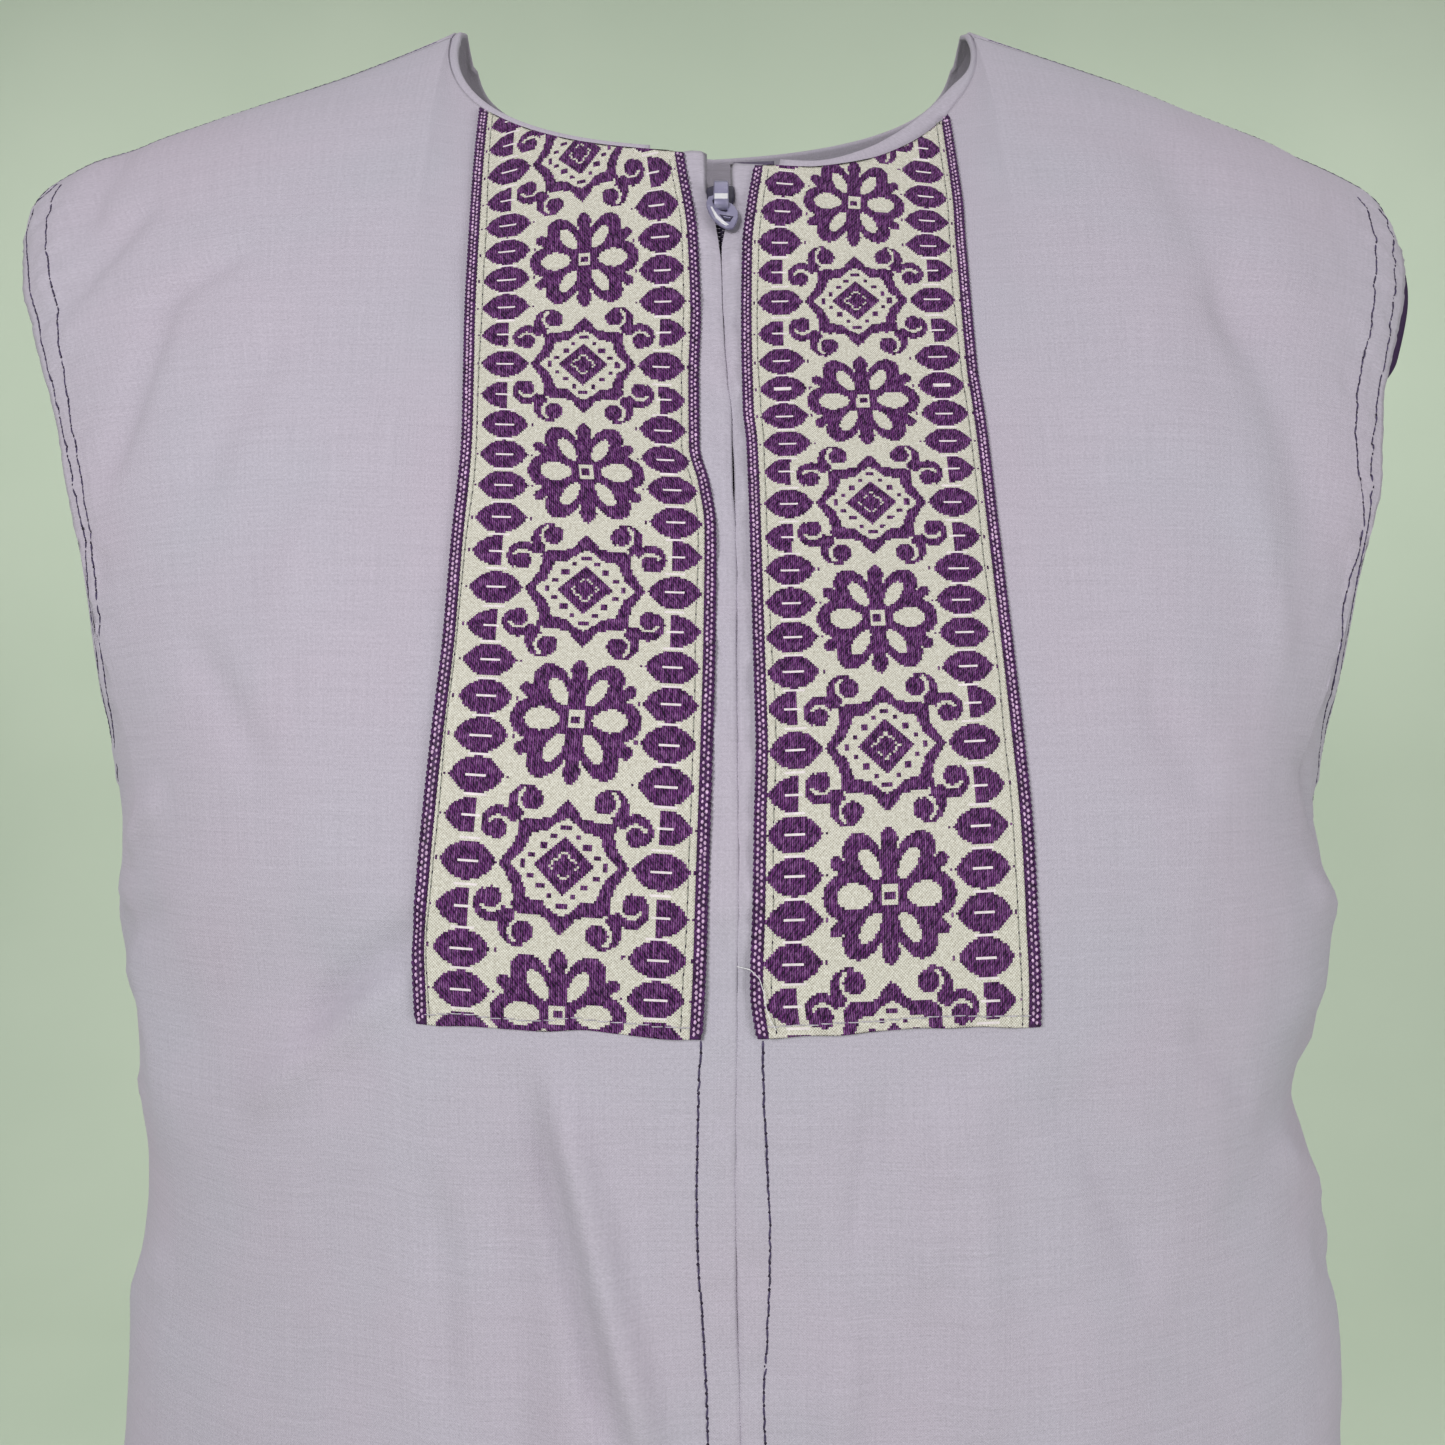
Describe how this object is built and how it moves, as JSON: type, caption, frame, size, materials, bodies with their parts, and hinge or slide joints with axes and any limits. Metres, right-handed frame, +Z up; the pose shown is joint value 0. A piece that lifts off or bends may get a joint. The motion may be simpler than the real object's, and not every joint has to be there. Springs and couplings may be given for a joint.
{
  "type": "sleeveless tunic top",
  "caption": "Hollow worn sleeveless tunic top with round neck, cap shoulders, centre front zip and two woven ribbon bands down the chest.",
  "frame": {"origin": "midway between the two shoulders, where the wearer's shoulders carry the garment", "axes": "+Z up, the front faces -Y, the wearer's left is +X"},
  "size_m": [0.3957, 0.2316, 0.7007],
  "materials": {
    "cloth": "matt plain weave, slightly slubbed, lilac",
    "facing": "matt plain weave, lilac",
    "dark_facing": "matt bias strip, dark purple",
    "ribbon": "cream plain weave with raised purple floats",
    "tape": "fine twill tape, lilac",
    "coil": "moulded coil, dull violet grey",
    "slider_paint": "lilac lacquer, worn bright at the edges"
  },
  "bodies": {
    "garment": {"front_right": "cloth", "front_left": "cloth", "back": "cloth", "neck_facing": "facing", "armhole_facing_right": "dark_facing", "armhole_facing_left": "dark_facing", "ribbon_right": "ribbon", "ribbon_left": "ribbon", "zip_tape_right": "tape", "zip_tape_left": "tape", "zip_coil": "coil", "zip_slider": "slider_paint"},
    "pull_tab": {"zip_pull_tab": "slider_paint"}
  },
  "joints": [
    {"name": "pull_tab_swing", "type": "hinge", "parent": "garment", "child": "pull_tab", "pos_m": [-0.00193, -0.04967, -0.04277], "axis": [-1, 0, 0], "range_deg": [0, 150]}
  ]
}
